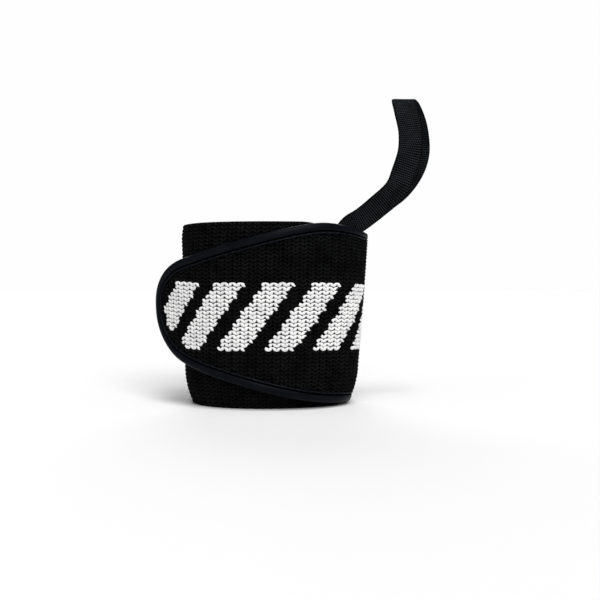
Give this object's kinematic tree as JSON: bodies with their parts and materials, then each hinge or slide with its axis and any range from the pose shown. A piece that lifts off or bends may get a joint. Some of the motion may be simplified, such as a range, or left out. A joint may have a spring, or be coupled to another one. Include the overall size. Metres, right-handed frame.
{
  "type": "wrist wrap",
  "caption": "Knitted elastic wrist wrap shown as worn: a wound band whose bound, rounded tongue closes on a hook patch, with a thumb loop out of its top.",
  "frame": {"origin": "centre of the wrist's place, the middle of the hollow at half the band's height", "axes": "+Z along the wrist toward the end the thumb loop comes out of, front with the closing tongue at -Y, thumb loop at +X"},
  "size_m": [0.1158, 0.0605, 0.1264],
  "materials": {
    "knit": "black knitted elastic with white knitted-in slanted bars",
    "binding_tape": "blue-black woven tape, faint sheen",
    "hook_tape": "black hook tape",
    "webbing": "black ribbed elastic webbing"
  },
  "bodies": {
    "root": {"elastic_band": "knit", "edge_binding": "binding_tape", "hook_patch": "hook_tape", "thumb_loop": "webbing"}
  },
  "joints": []
}
